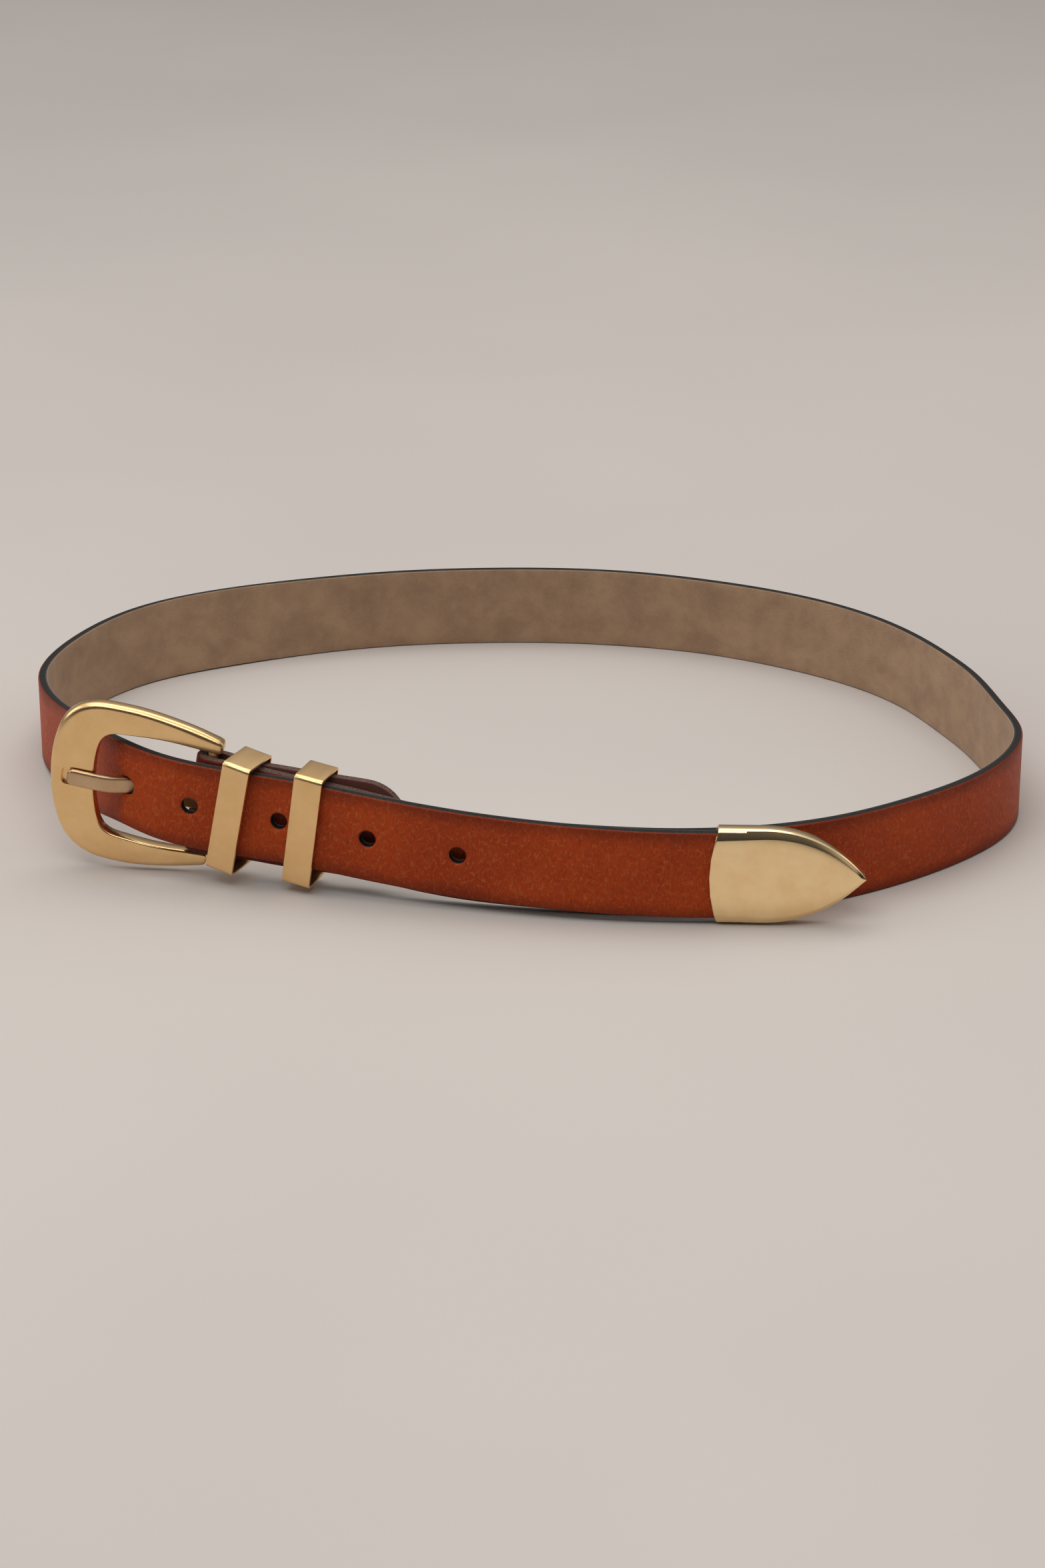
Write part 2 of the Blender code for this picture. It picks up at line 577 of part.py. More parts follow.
def main():
    remove_everything()
    cognac = material("cognac_leather", (0.40, 0.13, 0.035), 0.45, 0)
    suede = material("brown_suede", (0.32, 0.22, 0.15), 0.9, 0)
    gold = material("pale_gold", (0.80, 0.60, 0.36), 0.3, 1)
    buckle = buckle_matrix()
    route = Route(buckle)
    grain, lining = build_strap(route, cognac, suede)
    punch_strap(grain, lining, route, buckle)
    build_buckle_frame(buckle, gold)
    build_hinge_bar(buckle, gold)
    build_tongue(buckle, gold)
    for name, from_end, depth, inward, drop, yaw, lean in KEEPERS:
        frame = keeper_frame(route, route.length - from_end, inward, drop, yaw, lean)
        build_keeper(name, frame, depth, gold)
    tip_frame = route.frame(route.length - STRAP_IN_TIP)
    tip = build_tip(tip_frame, gold)
    build_tip_screws(tip, grain, lining, tip_frame, gold)
    build_fold_screws(grain, lining, route, gold)


if __name__ == "__main__":
    main()
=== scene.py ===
"""Dress belt, buckled into its loop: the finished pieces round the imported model."""

import math

import bmesh
import bpy
import numpy as np
from mathutils import Matrix, Vector


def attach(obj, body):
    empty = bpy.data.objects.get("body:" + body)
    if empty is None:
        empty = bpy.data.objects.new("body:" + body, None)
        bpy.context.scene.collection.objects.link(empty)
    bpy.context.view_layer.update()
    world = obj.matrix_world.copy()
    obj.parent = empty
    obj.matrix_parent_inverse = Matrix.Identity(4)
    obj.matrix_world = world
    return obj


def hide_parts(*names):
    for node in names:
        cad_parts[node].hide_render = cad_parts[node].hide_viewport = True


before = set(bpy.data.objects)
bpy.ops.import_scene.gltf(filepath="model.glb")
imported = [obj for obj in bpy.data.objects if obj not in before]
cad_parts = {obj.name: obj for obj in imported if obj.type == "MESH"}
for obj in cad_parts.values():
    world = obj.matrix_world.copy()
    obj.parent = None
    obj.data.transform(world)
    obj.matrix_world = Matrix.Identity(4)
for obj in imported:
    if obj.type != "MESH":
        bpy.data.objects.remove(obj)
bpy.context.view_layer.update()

MM = 0.001

# ---------------------------------------------------------------------------------------------
# Strap.  A band of vegetable-tanned cowhide, stained cognac and burnished, glued on a brown suede
# lining.  It is cut flat, its edges are painted charcoal, its holes are punched, and it is then
# folded round the hinge bar, taken once round the waist and brought back through the buckle.
# ---------------------------------------------------------------------------------------------
CENTRE = Vector((0.49, -11.44, 0.13)) * MM
GAP = 0.3 * MM
STRAP_WIDTH = 28 * MM
FOLD_WIDTH = 32 * MM
FOLD_TAPER = 75 * MM
FOLD_END_RADIUS = 13 * MM
FOLD_PARALLEL = 12 * MM
STRAP_THICKNESS = 3 * MM
LINING_THICKNESS = 0.7 * MM
BAR_CENTRE = Vector((-98.2, -70.8, 24.2)) * MM
BUCKLE_HEADING = math.radians(173.5)
BUCKLE_PITCH = math.radians(10)
BAR_RADIUS = 1.6 * MM
ROUTE_SAMPLES = 12000

# Middle line of the strap: x, y, height of the middle, outward lean of the top edge (mm)
FOLD_BACK_ROUTE = [
    (-36, -86.1, 18.8, 0), (-47, -83.2, 20.2, 0), (-61, -79.8, 21.2, 0), (-76.5, -75.9, 22.4, 0),
    (-87, -73, 23.3, 0),
]
BODY_ROUTE = [
    (-86, -76.9, 23.2, 0), (-76.5, -79.5, 22.2, 0), (-61, -83.4, 20.8, 0), (-47, -86.8, 19.2, 0),
    (-33, -90.5, 17.2, 0), (-17, -94.2, 15.6, 0), (0, -97.4, 14.9, 0), (23, -100.4, 14.3, 0),
    (45, -101.7, 14, 0), (68, -100.1, 14, 0), (92, -93.2, 14, 1), (120, -77.0, 14, 1),
    (141.7, -58.2, 14, 1), (154.2, -40.6, 14, 0), (159.7, -20, 14, 0), (157, 0, 14, 0),
    (149.6, 31.4, 14, 1), (144, 46, 14, 1), (133, 68.8, 14, 0), (120.5, 85.6, 14, 0),
    (94, 107.2, 14, 0), (66, 121.4, 14, -1), (38, 129.8, 14, 0), (8.7, 133.4, 14, 0),
    (-20, 133.0, 14, 0), (-49, 129.4, 14, 0), (-77.5, 121.6, 14, 1), (-105.5, 110.6, 14, 3),
    (-131.5, 94.5, 14, 2), (-153, 64, 14, 0), (-160.7, 33, 14, 0), (-156.2, 8.5, 15.4, 0),
    (-146.8, -17, 19.4, 0), (-139, -38, 24, 0), (-132.8, -52.6, 26.8, 0),
    (-127.6, -61.2, 28.3, 0), (-121.9, -68.2, 28.7, 0), (-115.6, -73, 28, 0),
    (-108.8, -76, 26.9, 0), (-101, -77.9, 25.7, 0),
    (-75.5, -83.4, 23.5, 0), (-47.4, -91.2, 20.8, 0),
    (-17, -98.8, 18.2, 0), (15, -105.2, 16.9, 0), (45, -108.0, 16.2, 0), (56, -108.25, 16.1, 0),
    (68, -108.5, 16.1, 0), (79.3, -108.7, 16.1, 0),
]


def smooth_step(value, low, high):
    """0 below low, 1 above high and an easy curve between them."""
    share = min(max((value - low) / (high - low), 0), 1)
    return share * share * (3 - 2 * share)


def natural_spline(points, samples):
    """Natural cubic spline through points, with its knots at the chord lengths."""
    points = np.asarray(points, float)
    steps = np.linalg.norm(np.diff(points[:, :2], axis=0), axis=1)
    knots = np.concatenate([[0], np.cumsum(steps)])
    count = len(points)
    matrix = np.eye(count)
    right = np.zeros_like(points)
    for i in range(1, count - 1):
        before, after = steps[i - 1], steps[i]
        matrix[i, i - 1:i + 2] = before, 2 * (before + after), after
        right[i] = 6 * ((points[i + 1] - points[i]) / after - (points[i] - points[i - 1]) / before)
    bend = np.linalg.solve(matrix, right)
    values = np.linspace(0, knots[-1], samples)
    spans = np.clip(np.searchsorted(knots, values, side="right") - 1, 0, count - 2)
    width = steps[spans][:, None]
    far = ((knots[spans + 1] - values) / steps[spans])[:, None]
    near = 1 - far
    curve = far * points[spans] + near * points[spans + 1]
    return curve + ((far**3 - far) * bend[spans] + (near**3 - near) * bend[spans + 1]) * width**2 / 6


def buckle_axes():
    """Buckle's own axes at the middle of its hinge bar: X to the free bar, Y to the front, Z up."""
    level = math.cos(BUCKLE_PITCH)
    along = Vector((level * math.cos(BUCKLE_HEADING), level * math.sin(BUCKLE_HEADING),
                    math.sin(BUCKLE_PITCH)))
    up = (Vector((0, 0, 1)) - along * along.z).normalized()
    matrix = Matrix((along, up.cross(along), up)).transposed().to_4x4()
    matrix.translation = BAR_CENTRE + CENTRE
    return matrix


class Route:
    """The strap's middle line, from the folded end to the tip, by length along it."""

    def __init__(self, buckle):
        points = [(x * MM, y * MM, z * MM, lean * MM) for x, y, z, lean in FOLD_BACK_ROUTE]
        radius = BAR_RADIUS + GAP + STRAP_THICKNESS / 2
        for degrees in range(-90, 91, 30):
            angle = math.radians(degrees)
            place = buckle @ Vector((radius * math.cos(angle), radius * math.sin(angle), 0)) - CENTRE
            points.append((*place, 0))
        points += [(x * MM, y * MM, z * MM, lean * MM) for x, y, z, lean in BODY_ROUTE]
        curve = natural_spline(points, ROUTE_SAMPLES)
        self.place = curve[:, :3] + np.array(CENTRE)
        step = np.linalg.norm(np.diff(self.place, axis=0), axis=1)
        self.s = np.concatenate([[0], np.cumsum(step)])
        self.lean = curve[:, 3]
        tangent = np.gradient(self.place, self.s, axis=0)
        self.tangent = tangent / np.linalg.norm(tangent, axis=1)[:, None]
        self.length = self.s[-1]
        self.bar_axis = buckle.col[2].to_3d()
        early = self.s < 2 * FOLD_TAPER
        self.bar_s = self.s[early][np.argmin(self.place[early, 0])]

    def at(self, s, values):
        return np.array([np.interp(s, self.s, values[:, i]) for i in range(values.shape[1])])

    def half_width(self, s):
        half = FOLD_WIDTH / 2 - (FOLD_WIDTH - STRAP_WIDTH) / 2 * smooth_step(
            s, self.bar_s, self.bar_s + FOLD_TAPER)
        if s < FOLD_END_RADIUS:
            inside = FOLD_END_RADIUS - s
            half += math.sqrt(max(FOLD_END_RADIUS**2 - inside**2, 0)) - FOLD_END_RADIUS
        return half

    def frame(self, s):
        """X along the strap, Y through it to its lining and Z up its width."""
        tangent = Vector(self.at(s, self.tangent)).normalized()
        far = smooth_step(abs(s - self.bar_s), FOLD_PARALLEL, 2 * FOLD_PARALLEL)
        guide = self.bar_axis.lerp(Vector((0, 0, 1)), far)
        up = (guide - tangent * tangent.dot(guide)).normalized()
        lean = np.interp(s, self.s, self.lean) / STRAP_WIDTH
        up = (up + tangent.cross(up) * lean).normalized()
        matrix = Matrix((tangent, up.cross(tangent), up)).transposed().to_4x4()
        matrix.translation = Vector(self.at(s, self.place))
        return matrix


buckle = buckle_axes()
route = Route(buckle)


def new_object(name, bm, sharp=35):
    """A mesh object at the origin, smooth except across edges sharper than the angle."""
    mesh = bpy.data.meshes.new(name)
    bm.to_mesh(mesh)
    bm.free()
    piece = bpy.data.objects.new(name, mesh)
    bpy.context.collection.objects.link(piece)
    mesh.shade_smooth()
    mesh.set_sharp_from_angle(angle=math.radians(sharp))
    return piece


def carve(piece, cutters, tangled=False):
    """Cut closed pieces out of another and throw the cutters away; tangled if its faces cross."""
    for cutter in cutters:
        modifier = piece.modifiers.new("carve", "BOOLEAN")
        modifier.operation = "DIFFERENCE"
        modifier.solver = "EXACT"
        modifier.use_self = tangled
        modifier.object = cutter
    bpy.context.view_layer.update()
    shaped = bpy.data.meshes.new_from_object(piece.evaluated_get(
        bpy.context.evaluated_depsgraph_get()))
    piece.modifiers.clear()
    old = piece.data
    piece.data = shaped
    bpy.data.meshes.remove(old)
    for cutter in cutters:
        bpy.data.objects.remove(cutter, do_unlink=True)


HOLE_RADIUS = 2.6 * MM
HOLE_PITCH = 28.6 * MM
LAST_HOLE_FROM_TIP_END = 99.7 * MM
EMPTY_HOLES = 4
HOLE_SINK = 0.7 * MM                    # how deep the face dips round a punched hole
TONGUE_HOLE = (205.0 * MM, 210.6 * MM)  # worn long by the tongue: its ends, from the strap's end
FOLD_SLOT_REACH = 14 * MM               # the tongue's slot in the fold, each way from the bar
SLOT_RADIUS = 2.9 * MM
FACE = STRAP_THICKNESS / 2
SAME_PLACE = 0.01 * MM                  # points closer than this are one
FINE_REACH = 14 * MM                    # the blank is divided finely this far from the bar
FINE_STEP = 0.5 * MM
COARSE_STEP = 1.7 * MM
ROWS_ACROSS = 12
GLUE_LINE = 0.02 * MM
GRAIN_EDGE_ROUNDING = 0.75 * MM
LINING_EDGE_ROUNDING = 0.35 * MM


def punch(middle, stretch, radius):
    """Cutter for a punched hole whose rim dips: turned, then stretched along the strap."""
    bm = bmesh.new()
    outline = [
        (0, -2 * FACE), (radius, -2 * FACE), (radius, FACE - HOLE_SINK),
        (radius + 0.15 * MM, FACE - 0.5 * HOLE_SINK),
        (radius + 0.45 * MM, FACE - 0.15 * HOLE_SINK),
        (radius + 0.95 * MM, FACE + 0.05 * MM), (0, FACE + 0.05 * MM),
    ]
    corners = [bm.verts.new((x, 0, z)) for x, z in outline]
    for a, b in zip(corners, corners[1:]):
        bm.edges.new((a, b))
    bmesh.ops.spin(bm, geom=bm.verts[:] + bm.edges[:], cent=(0, 0, 0), axis=(0, 0, 1),
                   angle=2 * math.pi, steps=32, use_merge=True)
    bmesh.ops.remove_doubles(bm, verts=bm.verts, dist=SAME_PLACE)
    for vert in bm.verts:
        if abs(vert.co.x) > SAME_PLACE:
            vert.co.x += math.copysign(stretch / 2, vert.co.x)
    bmesh.ops.translate(bm, verts=bm.verts, vec=(middle, 0, 0))
    bmesh.ops.recalc_face_normals(bm, faces=bm.faces)
    return new_object("punch", bm)


def strap_columns():
    """Where the blank is divided along its length: finest in the round end and at the bar."""
    columns = [0.02 * MM]
    for degrees in range(6, 91, 6):
        columns.append(FOLD_END_RADIUS * (1 - math.cos(math.radians(degrees))))
    while columns[-1] < route.length:
        near_bar = abs(columns[-1] - route.bar_s) < FINE_REACH
        columns.append(columns[-1] + (FINE_STEP if near_bar else COARSE_STEP))
    columns[-1] = route.length
    return columns


def strap_blank(name, low, high, rounded):
    """Flat strip: X along the strap, Y up its width, Z out of its grain face.

    Its edges are rounded by the amount given, at the top if that is positive, else at the bottom.
    """
    columns = strap_columns()
    bm = bmesh.new()
    bmesh.ops.create_grid(bm, x_segments=len(columns) - 1, y_segments=ROWS_ACROSS, size=1)
    for vert in bm.verts:
        s = columns[round((vert.co.x + 1) / 2 * (len(columns) - 1))]
        vert.co = (s, vert.co.y * route.half_width(s), low)
    grown = bmesh.ops.extrude_face_region(bm, geom=bm.faces[:])
    moved = [part for part in grown["geom"] if isinstance(part, bmesh.types.BMVert)]
    bmesh.ops.translate(bm, verts=moved, vec=(0, 0, high - low))
    bmesh.ops.recalc_face_normals(bm, faces=bm.faces)
    level = high if rounded > 0 else low
    rims = [edge for edge in bm.edges
            if all(abs(vert.co.z - level) < SAME_PLACE for vert in edge.verts)
            and any(abs(face.normal.z) < 0.5 for face in edge.link_faces)]
    bmesh.ops.bevel(bm, geom=rims, offset=abs(rounded), segments=4, profile=0.5, affect="EDGES",
                    material=-1)
    blank = new_object(name, bm)
    end = route.length
    cutters = [punch(end - LAST_HOLE_FROM_TIP_END - number * HOLE_PITCH, 0, HOLE_RADIUS)
               for number in range(EMPTY_HOLES)]
    near, far = TONGUE_HOLE
    cutters.append(punch(end - (near + far) / 2, far - near - 2 * SLOT_RADIUS, SLOT_RADIUS))
    cutters.append(punch(route.bar_s, 2 * (FOLD_SLOT_REACH - SLOT_RADIUS), SLOT_RADIUS))
    carve(blank, cutters)
    return blank


def lay_along_route(blank):
    """Write the flat pattern into the mesh, for its finish, and bend the blank to its place."""
    mesh = blank.data
    while mesh.uv_layers:
        mesh.uv_layers.remove(mesh.uv_layers[0])
    pattern = mesh.uv_layers.new(name="pattern")
    flat = [vert.co.copy() for vert in mesh.vertices]
    for loop in mesh.loops:
        pattern.data[loop.index].uv = flat[loop.vertex_index].xy
    margin = mesh.attributes.new("margin", "FLOAT", "POINT")
    depth = mesh.attributes.new("depth", "FLOAT", "POINT")
    frames = {}
    for vert, place in zip(mesh.vertices, flat):
        s = min(max(place.x, 0), route.length)
        margin.data[vert.index].value = min(route.half_width(s) - abs(place.y), s)
        depth.data[vert.index].value = FACE - place.z
        if s not in frames:
            frames[s] = route.frame(s)
        vert.co = frames[s] @ Vector((0, -place.z, place.y))
    mesh.update()


grain = strap_blank("strap_grain", LINING_THICKNESS - FACE + GLUE_LINE, FACE, GRAIN_EDGE_ROUNDING)
lay_along_route(grain)
lining = strap_blank("strap_suede_lining", -FACE, LINING_THICKNESS - FACE, -LINING_EDGE_ROUNDING)
lay_along_route(lining)


class Wire:
    """A number, vector or colour on its way through a finish's nodes."""

    def __init__(self, finish, socket):
        self.finish = finish
        self.socket = socket

    def sum(self, operation, *values):
        return self.finish.node("ShaderNodeMath", {"operation": operation}, dict(enumerate(values)))

    def __add__(self, other):
        return self.sum("ADD", self, other)

    def __radd__(self, other):
        return self.sum("ADD", other, self)

    def __sub__(self, other):
        return self.sum("SUBTRACT", self, other)

    def __rsub__(self, other):
        return self.sum("SUBTRACT", other, self)

    def __mul__(self, other):
        return self.sum("MULTIPLY", self, other)

    def __rmul__(self, other):
        return self.sum("MULTIPLY", other, self)

    def ramp(self, low, high):
        """0 where this is at low, 1 where it is at high, eased between."""
        return self.finish.node("ShaderNodeMapRange", {"interpolation_type": "SMOOTHSTEP"}, {
            "Value": self, "From Min": low, "From Max": high})


class Finish:
    """One material and its nodes."""

    def __init__(self, name):
        self.material = bpy.data.materials.new(name)
        self.material.use_nodes = True
        self.tree = self.material.node_tree
        self.shader = self.tree.nodes["Principled BSDF"]

    def node(self, kind, settings, sockets, output=0):
        made = self.tree.nodes.new(kind)
        for name, value in settings.items():
            setattr(made, name, value)
        self.feed(made, sockets)
        outputs = [socket for socket in made.outputs if socket.enabled]
        return Wire(self, made.outputs[output] if isinstance(output, str) else outputs[output])

    def feed(self, made, sockets):
        for name, value in sockets.items():
            socket = made.inputs[name]
            if isinstance(value, Wire):
                self.tree.links.new(value.socket, socket)
            elif isinstance(value, tuple) and len(value) == 3 and socket.type == "RGBA":
                socket.default_value = (*value, 1)
            else:
                socket.default_value = value

    def mix(self, factor, first, second, blend="MIX"):
        """Colour mix: first where factor is 0, second where it is 1."""
        return self.node("ShaderNodeMix", {"data_type": "RGBA", "blend_type": blend},
                         {0: factor, 6: first, 7: second})

    def noise(self, vector, scale, detail=3, roughness=0.5, distortion=0):
        return self.node("ShaderNodeTexNoise", {}, {
            "Vector": vector, "Scale": scale, "Detail": detail, "Roughness": roughness,
            "Distortion": distortion})

    def stretched(self, vector, scale):
        return self.node("ShaderNodeVectorMath", {"operation": "MULTIPLY"}, {0: vector, 1: scale})

    def bump(self, height, distance, strength=1.0, under=None):
        sockets = {"Height": height, "Distance": distance, "Strength": strength}
        if under is not None:
            sockets["Normal"] = under
        return self.node("ShaderNodeBump", {}, sockets)

    def attribute(self, name):
        return self.node("ShaderNodeAttribute", {"attribute_name": name}, {}, "Fac")

    def pattern(self):
        return self.node("ShaderNodeUVMap", {"uv_map": "pattern"}, {})

    def object_place(self):
        return self.node("ShaderNodeTexCoord", {}, {}, "Object")

    def surface(self, **sockets):
        self.feed(self.shader, {name.replace("_", " "): value for name, value in sockets.items()})


COGNAC_LIGHT = (0.43, 0.050, 0.002)
COGNAC = (0.33, 0.033, 0.0015)
BURNISHED = (0.10, 0.011, 0.003)
# painted highlight: a lighter cognac laid along the grain's raised ridges
PAINTED_RIDGE_HIGHLIGHT = (0.62, 0.20, 0.06)
EDGE_PAINT = (0.020, 0.019, 0.018)
RAW_FIBRE = (0.17, 0.105, 0.08)
RAW_SHADOW = (0.055, 0.026, 0.020)
# painted shade: dark oxblood for the folded run, which lies behind the front strap and between the
# keepers
PAINTED_FOLD_SHADE = (0.085, 0.010, 0.008)
DRAWN_OUT = 1.4 * MM                    # how far the grain's cells are pulled out of line
BURNISH_REACH = 5.5 * MM                # the burnished border's width, and how much it wavers
BURNISH_WAVER = 4 * MM
PAINT_START = 0.35 * MM                 # below the grain face, the edge paint begins and is full
PAINT_FULL = 0.6 * MM
FOLD_SHADE_START = 60 * MM              # past the bar, the folded end's bare edges and painted shade begin to fade
FOLD_SHADE_END = 72 * MM                # and are gone


def near_fold(finish, flat):
    """1 from the strap's folded end to a little past the bar, 0 on the rest."""
    along = finish.node("ShaderNodeSeparateXYZ", {}, {0: flat}, "X")
    return 1 - along.ramp(route.bar_s + FOLD_SHADE_START, route.bar_s + FOLD_SHADE_END)


def cut_edge(finish, folded):
    """Colour of a cut edge: bare fibre at the folded end, charcoal paint elsewhere."""
    fuzz = finish.noise(finish.object_place(), 1800, 4, 0.7)
    raw = finish.mix(fuzz.ramp(0.3, 0.7), RAW_SHADOW, RAW_FIBRE)
    return finish.mix(folded, EDGE_PAINT, raw)


hide = Finish("cognac_leather")
flat = hide.pattern()
margin = hide.attribute("margin")
depth = hide.attribute("depth")
cloud = hide.noise(flat, 28, 4, 0.6)
fine = hide.noise(flat, 420, 3, 0.6)
wander = hide.noise(flat, 260, 2, 0.5)
drawn = hide.node("ShaderNodeVectorMath", {"operation": "MULTIPLY_ADD"}, {
    0: hide.node("ShaderNodeTexNoise", {}, {"Vector": flat, "Scale": 240, "Detail": 2}, "Color"),
    1: (DRAWN_OUT, DRAWN_OUT, 0), 2: flat})
cells = hide.node("ShaderNodeTexVoronoi", {"feature": "DISTANCE_TO_EDGE"}, {
    "Vector": hide.stretched(drawn, (1200, 380, 1)), "Scale": 1.0, "Randomness": 1.0})
crease = (1 - cells.ramp(0.0, 0.13)) * hide.noise(flat, 650, 2, 0.6).ramp(0.38, 0.56)
worm = hide.noise(hide.stretched(drawn, (1650, 430, 1)), 1.0, 2, 0.5)
thread = worm.ramp(0.56, 0.70)
tone = hide.mix((cloud + fine * 0.6 - 0.3).ramp(0.3, 0.75), COGNAC, COGNAC_LIGHT)
tone = hide.mix(thread * 0.22, tone, BURNISHED)
# Painted highlight: the grain's raised ridges are lightened in colour as well as raised in the bump.
tone = hide.mix(crease * 0.32, tone, PAINTED_RIDGE_HIGHLIGHT)
burnish = 1 - (margin + (cloud - 0.5) * BURNISH_WAVER).ramp(0.0, BURNISH_REACH)
tone = hide.mix(burnish * 0.6, tone, BURNISHED)
folded = near_fold(hide, flat)
# Painted shade: the folded run behind the front strap is darkened to oxblood.
tone = hide.mix(folded * 0.75, tone, PAINTED_FOLD_SHADE)
painted = depth.ramp(PAINT_START, PAINT_FULL)
tone = hide.mix(painted, tone, cut_edge(hide, folded))
grain_height = hide.bump(crease * 0.9 - thread * 0.5 + fine * 0.3, 0.00014, 0.8)
hide.surface(Base_Color=tone, Roughness=0.42 + wander * 0.12 + painted * 0.12, Normal=grain_height,
             Specular_IOR_Level=0.18)
grain.data.materials.clear()
grain.data.materials.append(hide.material)

SUEDE = (0.43, 0.275, 0.165)
SUEDE_DARK = (0.29, 0.178, 0.105)
NAP_START = 0.3 * MM                    # above the lining's inner face, the edge gives way to nap
NAP_FULL = 0.12 * MM
suede = Finish("brown_suede")
flat = suede.pattern()
nap = suede.noise(flat, 80, 6, 0.65, 0.2)
fibre = suede.noise(suede.stretched(flat, (1.0, 1.6, 1)), 1400, 3, 0.7)
depth = suede.attribute("depth")
tone = suede.mix((nap * 0.85 + fibre * 0.35).ramp(0.35, 0.82), SUEDE_DARK, SUEDE)
folded = near_fold(suede, flat)
# Painted shade: the lining of the folded run is darkened to oxblood like the grain.
tone = suede.mix(folded * 0.9, tone, PAINTED_FOLD_SHADE)
inner_edge = 1 - depth.ramp(STRAP_THICKNESS - NAP_START, STRAP_THICKNESS - NAP_FULL)
tone = suede.mix(inner_edge, tone, cut_edge(suede, folded))
suede.surface(Base_Color=tone, Roughness=0.85, Normal=suede.bump(fibre, 0.0002, 0.6),
              Sheen_Weight=0.1, Sheen_Roughness=0.5)
lining.data.materials.clear()
lining.data.materials.append(suede.material)

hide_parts("strap_grain_layer")
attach(grain, "strap")
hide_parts("strap_lining")
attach(lining, "strap")

# ---------------------------------------------------------------------------------------------
# Buckle frame.  A horseshoe cast in brass and plated pale gold: its front is brushed flat, and its
# outer edge is rounded over and polished.  The two arms are bored for the hinge bar.
# ---------------------------------------------------------------------------------------------
FRAME_THICKNESS = 4.6 * MM
NOTCH_FLOOR = 0.9 * MM
TONGUE_WIDTH = 5.4 * MM
BAR_HALF_LENGTH = 19.2 * MM
FRAME_SKEW = 0.11                       # the free bar leans this much to its upper end
FRAME_SECTIONS = 110
FRAME_FULL_WIDTH = 3.6 * MM             # narrower than this, the frame is thinner too
FRAME_CROWN = 2.6 * MM                  # rounding of the outer edge
FRAME_LIP = 0.8 * MM                    # rounding of the inner edge
NOTCH_START = 30 * MM
NOTCH_END = 45.6 * MM
NOTCH_TOP = 6 * MM
NOTCH_CORNER = 1.8 * MM

# From the end of one arm to the middle of the free bar: inner X and Z, outer X and Z (mm)
FRAME_STATIONS = [
    (-3.1, 18.2, -3.1, 19.7), (-2.6, 17.4, -2.7, 20.8), (-1, 17.1, -1, 21.6), (4, 17.3, 4, 23.0),
    (10, 17.7, 10, 24.3), (16, 17.8, 16, 25.3), (21.5, 17.5, 22.5, 26.0), (26.2, 17.1, 29.5, 26.1),
    (29.6, 16.6, 35.2, 25.6), (32.0, 15.3, 40.3, 23.7), (33.6, 12.9, 44.3, 20.2),
    (34.6, 9.2, 47.2, 14.4), (35.2, 4.8, 48.8, 7.6), (35.4, 0, 49.3, 0),
]


def loft(sections, looped=False):
    """Skin over a run of like sections: a grid whose columns become the sections."""
    bm = bmesh.new()
    along, round_about = len(sections) - 1 + looped, len(sections[0])
    bmesh.ops.create_grid(bm, x_segments=along, y_segments=round_about, size=1)
    for vert in bm.verts:
        i = round((vert.co.x + 1) / 2 * along) % len(sections)
        j = round((vert.co.y + 1) / 2 * round_about) % round_about
        vert.co = sections[i][j]
    bmesh.ops.remove_doubles(bm, verts=bm.verts, dist=0.001 * MM)
    ends = [edge for edge in bm.edges if edge.is_boundary]
    if ends:
        bmesh.ops.holes_fill(bm, edges=ends, sides=0)
    bmesh.ops.recalc_face_normals(bm, faces=bm.faces)
    return bm


def placed(bm, matrix):
    bmesh.ops.transform(bm, matrix=matrix, verts=bm.verts)
    return bm


def block(low, high):
    """Closed box between two corners."""
    bm = bmesh.new()
    size = Vector(high) - Vector(low)
    middle = Matrix.Translation((Vector(high) + Vector(low)) / 2) @ Matrix.Diagonal((*size, 1))
    bmesh.ops.create_cube(bm, size=1, matrix=middle)
    return bm


def rod(radius, low, high, sides=32):
    bm = bmesh.new()
    bmesh.ops.create_cone(bm, cap_ends=True, segments=sides, radius1=radius, radius2=radius,
                          depth=high - low, matrix=Matrix.Translation((0, 0, (low + high) / 2)))
    return bm


def frame_section(inner, outer):
    """Section of the frame between its inner and outer edge, rounded over on the outside."""
    width = (outer - inner).length
    across = (outer - inner) / width
    slim = min(width / FRAME_FULL_WIDTH, 1)
    half = FRAME_THICKNESS / 2 * (0.30 + 0.70 * math.sqrt(1 - (1 - slim) ** 2))
    crown = min(FRAME_CROWN, 0.42 * width)
    lip = min(FRAME_LIP, 0.15 * width)
    outline = [(0.3 * lip, -half), (0, -half + 0.4 * lip), (0, half - lip)]
    for degrees in (22, 45, 67, 90):
        turn = math.radians(degrees)
        outline.append((lip * (1 - math.cos(turn)), half - lip * (1 - math.sin(turn))))
    outline.append(((lip + width - crown) / 2, half))
    for degrees in (0, 12, 26, 40, 54, 68, 80, 90):
        turn = math.radians(degrees)
        outline.append((width - crown * (1 - math.sin(turn)),
                        half - 0.75 * crown * (1 - math.cos(turn))))
    outline += [(width, -half + 0.7 * lip), (width - 0.25 * lip, -half + 0.2 * lip),
                (width - 0.8 * lip, -half)]
    return [inner + across * reach + Vector((0, height, 0)) for reach, height in outline]


def skewed(x, z):
    """A point of the frame, leaning over more and more towards the free bar."""
    share = min(max(x / FRAME_STATIONS[-1][0], 0), 1)
    return (x + FRAME_SKEW * share * z) * MM, z * MM


